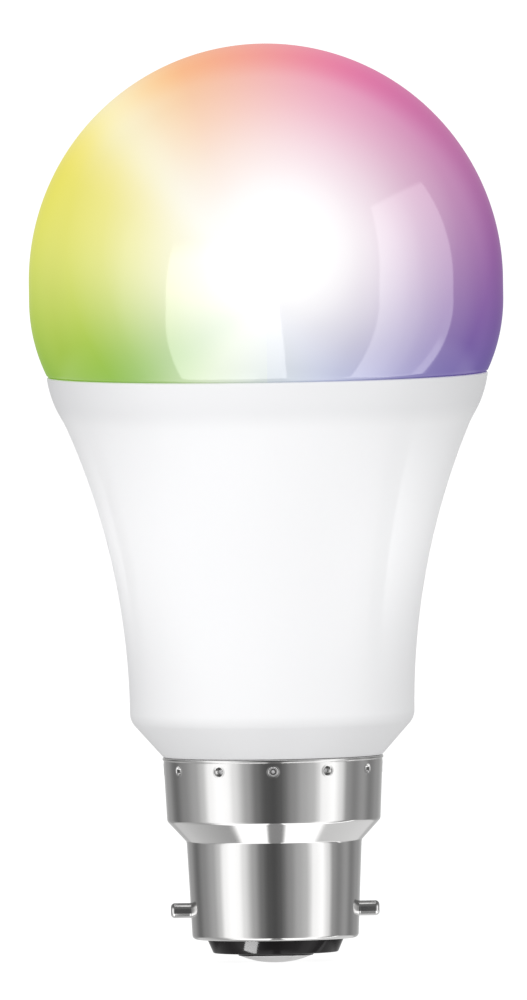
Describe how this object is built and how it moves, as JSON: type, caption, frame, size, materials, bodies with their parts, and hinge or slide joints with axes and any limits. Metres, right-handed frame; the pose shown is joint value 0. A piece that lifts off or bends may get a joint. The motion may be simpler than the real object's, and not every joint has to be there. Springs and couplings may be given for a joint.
{
  "type": "smart light bulb",
  "caption": "Round-domed smart LED lamp with a waisted white housing and a two-pin bayonet cap; colour LEDs, driver and wireless module inside.",
  "frame": {"origin": "on the lamp's axis, in the plane of the two contact faces at the cap end", "axes": "+Z runs along the lamp's axis from the cap to the top of the dome; X runs through the two bayonet pins; the two contacts lie front and rear along Y"},
  "size_m": [0.0612, 0.0612, 0.1185],
  "materials": {
    "milky_dome": "glossy milky polycarbonate, lit from inside",
    "sealant": "white silicone",
    "white_housing": "satin moulded",
    "heat_sink_metal": "pressed sheet",
    "pad": "soft grey-blue silicone",
    "white_board": "white solder mask on aluminium",
    "screw_steel": "zinc plated",
    "led_body": "white package",
    "phosphor": "yellow phosphor in silicone",
    "clear_resin": "clear silicone",
    "sleeve_plastic": "natural insulating plastic",
    "green_board": "green glass-fibre laminate",
    "capacitor_sleeve": "shrunk plastic sleeve on aluminium",
    "film_red": "dipped red epoxy",
    "ferrite": "dark matt ferrite",
    "black_plastic": "moulded black epoxy and plastic",
    "tape": "yellow insulating tape over wire",
    "copper": "enamelled copper wire",
    "blue_disc": "blue epoxy coat",
    "resistor_coat": "flame-proof coat",
    "chip_ceramic": "surface-mount chips",
    "gold_plate": "gold flash",
    "dark_board": "dark blue laminate",
    "shield_tin": "tinned sheet",
    "brown_wire": "brown insulation",
    "blue_wire": "blue insulation",
    "cap_metal": "bright nickel plate",
    "cap_black": "polished black glass-filled insulator",
    "contact_tin": "tinned, satin"
  },
  "bodies": {
    "root": {"aerial_trace": "gold_plate", "bayonet_pin_left": "cap_metal", "bayonet_pin_right": "cap_metal", "bridge_rectifier": "black_plastic", "bulk_capacitor": "capacitor_sleeve", "cap_insulator": "cap_black", "cap_shell": "cap_metal", "chip_parts": "chip_ceramic", "choke_core": "ferrite", "choke_winding": "copper", "colour_led_1": "led_body", "colour_led_2": "led_body", "colour_led_3": "led_body", "colour_led_4": "led_body", "colour_led_resins": "clear_resin", "contact_front": "contact_tin", "contact_rear": "contact_tin", "diffuser_dome": "milky_dome", "dimming_ic": "black_plastic", "dome_adhesive": "sealant", "driver_board": "green_board", "driver_sleeve": "sleeve_plastic", "film_capacitor": "film_red", "fusible_resistor": "resistor_coat", "heat_sink": "heat_sink_metal", "housing": "white_housing", "led_board": "white_board", "led_board_screws": "screw_steel", "led_header_body": "black_plastic", "led_header_pins": "gold_plate", "live_wire": "brown_wire", "module_pins": "gold_plate", "neutral_wire": "blue_wire", "output_capacitor": "capacitor_sleeve", "shield_can": "shield_tin", "sleeve_lid": "sleeve_plastic", "switching_ic": "black_plastic", "thermal_pad": "pad", "transformer_bobbin": "black_plastic", "transformer_core": "ferrite", "transformer_winding": "tape", "varistor": "blue_disc", "white_led_1": "led_body", "white_led_2": "led_body", "white_led_3": "led_body", "white_led_4": "led_body", "white_led_5": "led_body", "white_led_6": "led_body", "white_led_7": "led_body", "white_led_8": "led_body", "white_led_9": "led_body", "white_led_phosphors": "phosphor", "wireless_board": "dark_board"}
  },
  "joints": []
}
